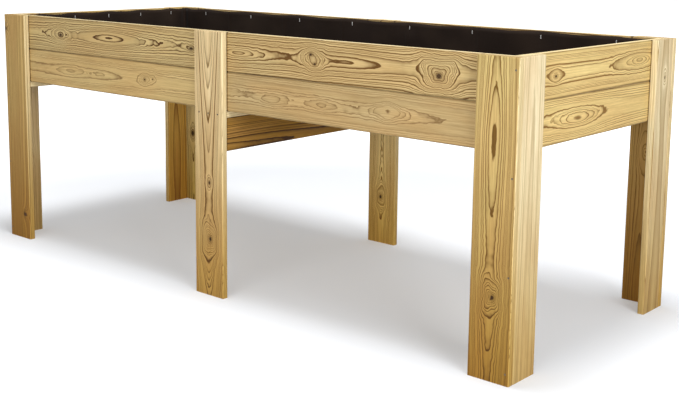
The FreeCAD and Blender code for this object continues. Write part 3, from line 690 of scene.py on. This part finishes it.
def feltMaterial():
    material, tree = newMaterial("liner_felt")
    point = addNode(tree, "TexCoord")["Object"]
    fluff = addNoise(tree, point, scale=felt["fluff"], detail=3.0, roughness=0.7)
    cells = addNode(tree, "TexVoronoi", {"Vector": point, "Scale": 420.0}, feature="DISTANCE_TO_EDGE")["Distance"]
    cloudy = addNoise(tree, point, scale=7.0, detail=3.0)
    cloudy = addMath(tree, "MULTIPLY", addRamp(tree, cloudy, 0.35, 0.75), 0.35)
    share = addMath(tree, "MULTIPLY_ADD", fluff, 0.5, cloudy)
    share = addMath(tree, "SUBTRACT", share, 0.15, clamp=True)
    colour = addMix(tree, share, tint(*felt["dark"]), tint(*felt["light"]))
    height = addMath(tree, "MULTIPLY_ADD", fluff, 0.7, addMath(tree, "MULTIPLY", cells, 0.6))
    bump = addNode(tree, "Bump", {"Height": height, "Strength": 0.5, "Distance": 0.0005})[0]
    rough = addMath(tree, "MULTIPLY_ADD", fluff, 0.14, felt["roughness"] - 0.07)
    shader = addNode(tree, "BsdfPrincipled", {"Base Color": colour, "Roughness": rough, "Normal": bump,
                                              "Specular IOR Level": 0.16, "Sheen Weight": 0.03})[0]
    addNode(tree, "OutputMaterial", {"Surface": shader})
    return material


cloth = buildLiner()
cloth.data.materials.append(feltMaterial())
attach(cloth, "root")
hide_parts("liner")
print("liner made:", len(cloth.data.polygons), "faces")


studio = dict(floorSize=40.0, floorColour=(0.685, 0.71, 0.75, 1), floorGlow=0.255, farGlow=1.0,
              glowStart=1.5, glowEnd=2.9, skyGlow=1.0, skyFill=0.36)
lamps = {
    "overhead_lamp": dict(place=(0.25, -0.15, 5.0), aim=(0.1, -0.05, 0.0), size=(1.8, 1.5), power=200.0),
    "right_lamp": dict(place=(4.2, -1.7, 1.9), aim=(0.9, -0.2, 0.5), size=(1.8, 1.8), power=98.0),
    "front_lamp": dict(place=(1.5, -4.4, 1.15), aim=(0.2, -0.3, 0.5), size=(2.6, 1.2), power=68.0),
}


def seenDirectly(tree):  # rays that show the floor or sky, not the ones that light the planter
    rays = addNode(tree, "LightPath")
    mirrored = addMath(tree, "MAXIMUM", rays["Is Glossy Ray"], rays["Is Transmission Ray"])
    return addMath(tree, "MAXIMUM", rays["Is Camera Ray"], mirrored)


def buildFloor():
    mesh = bpy.data.meshes.new("studio_floor")
    shape = bmesh.new()
    half = studio["floorSize"] / 2
    corners = [shape.verts.new((x * half, y * half, 0.0)) for x, y in ((-1, -1), (1, -1), (1, 1), (-1, 1))]
    shape.faces.new(corners)
    shape.to_mesh(mesh)
    shape.free()
    floor = bpy.data.objects.new("studio_floor", mesh)
    bpy.context.scene.collection.objects.link(floor)
    material, tree = newMaterial("studio_floor")
    seen = seenDirectly(tree)
    paint = addNode(tree, "BsdfDiffuse", {"Color": studio["floorColour"]})[0]
    point = addNode(tree, "TexCoord")["Object"]
    away = addNode(tree, "VectorMath", {0: point}, operation="LENGTH")["Value"]
    level = addRamp(tree, away, studio["glowStart"], studio["glowEnd"], studio["floorGlow"], studio["farGlow"])
    glow = addNode(tree, "Emission", {"Strength": addMath(tree, "MULTIPLY", seen, level)})[0]
    both = addNode(tree, "AddShader", {0: paint, 1: glow})[0]
    addNode(tree, "OutputMaterial", {"Surface": both})
    mesh.materials.append(material)


def buildSky():
    world = bpy.data.worlds.new("studio_sky")
    bpy.context.scene.world = world
    world.use_nodes = True
    tree = world.node_tree
    tree.nodes.clear()
    seen = seenDirectly(tree)
    strength = addMath(tree, "MULTIPLY_ADD", seen, studio["skyGlow"] - studio["skyFill"], studio["skyFill"])
    sky = addNode(tree, "Background", {"Color": (1, 1, 1, 1), "Strength": strength})[0]
    addNode(tree, "OutputWorld", {"Surface": sky})


def addLamp(name, values):
    light = bpy.data.lights.new(name, "AREA")
    light.shape = "RECTANGLE"
    light.size, light.size_y = values["size"]
    light.energy = values["power"]
    lamp = bpy.data.objects.new(name, light)
    lamp.location = values["place"]
    away = Vector(values["place"]) - Vector(values["aim"])
    lamp.rotation_euler = away.to_track_quat("Z", "Y").to_euler()
    bpy.context.scene.collection.objects.link(lamp)


buildFloor()
buildSky()
for name, values in lamps.items():
    addLamp(name, values)
print("studio lit:", len(lamps), "lamps")


cameraSetup = dict(place=(2.4040, -2.6232, 1.0453), yaw=0.7105, pitch=-0.1557, roll=0.0120,
                   sensor=36.0, lens=58.647, shiftY=-0.12)


def buildCamera():
    values = cameraSetup
    data = bpy.data.cameras.new("camera")
    data.sensor_width = values["sensor"]
    data.lens = values["lens"]
    data.shift_y = values["shiftY"]
    camera = bpy.data.objects.new("camera", data)
    turn = (Matrix.Rotation(values["yaw"], 4, "Z") @ Matrix.Rotation(math.pi / 2 + values["pitch"], 4, "X")
            @ Matrix.Rotation(values["roll"], 4, "Z"))
    camera.matrix_world = Matrix.Translation(values["place"]) @ turn
    bpy.context.scene.collection.objects.link(camera)
    bpy.context.scene.camera = camera


buildCamera()
bpy.context.scene.view_settings.view_transform = "Standard"
print("camera placed")
